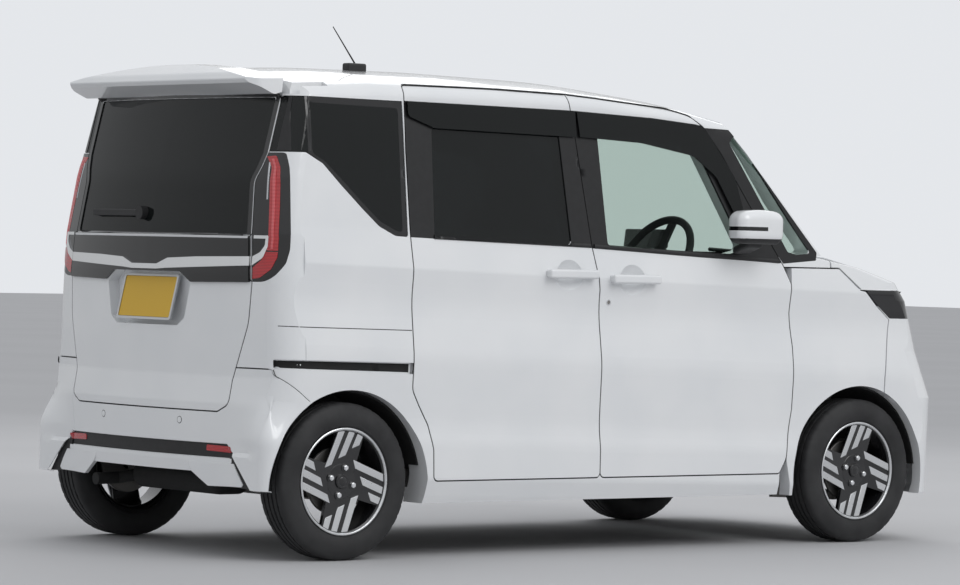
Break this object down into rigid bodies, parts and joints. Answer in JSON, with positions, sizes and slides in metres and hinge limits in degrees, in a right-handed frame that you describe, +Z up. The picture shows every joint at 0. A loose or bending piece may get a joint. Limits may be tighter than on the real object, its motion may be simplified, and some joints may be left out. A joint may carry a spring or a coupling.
{
  "type": "tall kei car",
  "caption": "Tall boxy small passenger car with hinged front doors, sliding rear doors, a lifting tailgate, a bonnet and steered front wheels.",
  "frame": {"origin": "on the ground, in the middle of the car's length and width", "axes": "+Z up, +Y towards the rear, the front faces -Y and the car's right side is -X"},
  "size_m": [1.81, 3.395, 1.9061],
  "materials": {
    "alloy": "machined",
    "black": "satin",
    "body": "gloss",
    "dark": "matte",
    "dark_glass": "polished",
    "fabric": "woven",
    "glass": "polished",
    "lamp": "gloss",
    "smoke": "gloss",
    "steel": "satin",
    "tyre": "matte"
  },
  "bodies": {
    "car_body": {"side_frame_right": "body", "side_frame_left": "body", "roof_panel": "body", "windscreen": "glass", "fixed_side_glass": "dark_glass", "cowl": "black", "sliding_door_right": "body", "sliding_door_glass_right": "dark_glass", "sliding_door_visor_right": "smoke", "sliding_door_left": "body", "sliding_door_glass_left": "dark_glass", "sliding_door_visor_left": "smoke", "front_wings": "body", "head_lamps": "lamp", "front_bumper": "body", "grille": "black", "rear_bumper": "body", "tail_lamps": "lamp", "floor_pan": "dark", "bulkhead": "dark", "front_structure": "dark", "front_arch_liners": "black", "rear_arch_liners": "black", "front_suspension": "steel", "rear_axle": "steel", "dashboard": "dark", "front_seats": "fabric", "rear_seats": "fabric", "seat_bases": "dark", "engine": "steel", "radiator": "dark", "fuel_tank": "dark", "exhaust": "steel", "roof_antenna": "black", "front_wipers": "black"},
    "front_door_right": {"front_door_right": "body", "front_door_glass_right": "glass", "front_door_visor_right": "smoke", "door_mirror_right": "body"},
    "front_door_left": {"front_door_left": "body", "front_door_glass_left": "glass", "front_door_visor_left": "smoke", "door_mirror_left": "body"},
    "tailgate": {"tailgate": "body", "tailgate_glass": "dark_glass", "tailgate_spoiler": "body", "tailgate_garnish": "black", "rear_wiper": "black"},
    "bonnet": {"bonnet": "body"},
    "steering_wheel": {"steering_wheel": "dark"},
    "knuckle_right": {"knuckle_right": "steel"},
    "knuckle_left": {"knuckle_left": "steel"},
    "wheel_front_right": {"tyre_front_right": "tyre", "wheel_front_right": "alloy"},
    "wheel_front_left": {"tyre_front_left": "tyre", "wheel_front_left": "alloy"},
    "wheel_rear_right": {"tyre_rear_right": "tyre", "wheel_rear_right": "alloy"},
    "wheel_rear_left": {"tyre_rear_left": "tyre", "wheel_rear_left": "alloy"}
  },
  "joints": [
    {"name": "front_door_right_hinge", "type": "hinge", "parent": "car_body", "child": "front_door_right", "pos_m": [-0.733, -0.8295, 0.7], "axis": [0, 0, 1], "range_deg": [0, 65]},
    {"name": "front_door_left_hinge", "type": "hinge", "parent": "car_body", "child": "front_door_left", "pos_m": [0.733, -0.8295, 0.7], "axis": [0, 0, -1], "range_deg": [0, 65]},
    {"name": "tailgate_hinge", "type": "hinge", "parent": "car_body", "child": "tailgate", "pos_m": [0, 1.4935, 1.722], "axis": [1, 0, 0], "range_deg": [0, 80]},
    {"name": "bonnet_hinge", "type": "hinge", "parent": "car_body", "child": "bonnet", "pos_m": [0, -1.0425, 1.096], "axis": [-1, 0, 0], "range_deg": [0, 60]},
    {"name": "steering_wheel_turn", "type": "hinge", "parent": "car_body", "child": "steering_wheel", "pos_m": [-0.35, -0.4345, 1.08], "axis": [0, 0.8713, 0.4907], "range_deg": [-540, 540]},
    {"name": "knuckle_right_turn", "type": "hinge", "parent": "car_body", "child": "knuckle_right", "pos_m": [-0.6, -1.19, 0.196], "axis": [0.2104, 0, 0.9776], "range_deg": [-36, 36]},
    {"name": "knuckle_left_turn", "type": "hinge", "parent": "car_body", "child": "knuckle_left", "pos_m": [0.6, -1.19, 0.196], "axis": [-0.2104, 0, 0.9776], "range_deg": [-36, 36]},
    {"name": "wheel_front_right_spin", "type": "hinge", "parent": "knuckle_right", "child": "wheel_front_right", "pos_m": [-0.647, -1.19, 0.2785], "axis": [1, 0, 0], "continuous": true},
    {"name": "wheel_front_left_spin", "type": "hinge", "parent": "knuckle_left", "child": "wheel_front_left", "pos_m": [0.647, -1.19, 0.2785], "axis": [1, 0, 0], "continuous": true},
    {"name": "wheel_rear_right_spin", "type": "hinge", "parent": "car_body", "child": "wheel_rear_right", "pos_m": [-0.647, 1.305, 0.2785], "axis": [1, 0, 0], "continuous": true},
    {"name": "wheel_rear_left_spin", "type": "hinge", "parent": "car_body", "child": "wheel_rear_left", "pos_m": [0.647, 1.305, 0.2785], "axis": [1, 0, 0], "continuous": true}
  ],
  "couplings": [
    {"joint": "knuckle_right_turn", "follows": "steering_wheel_turn", "ratio": 0.066667},
    {"joint": "knuckle_left_turn", "follows": "steering_wheel_turn", "ratio": 0.066667}
  ]
}
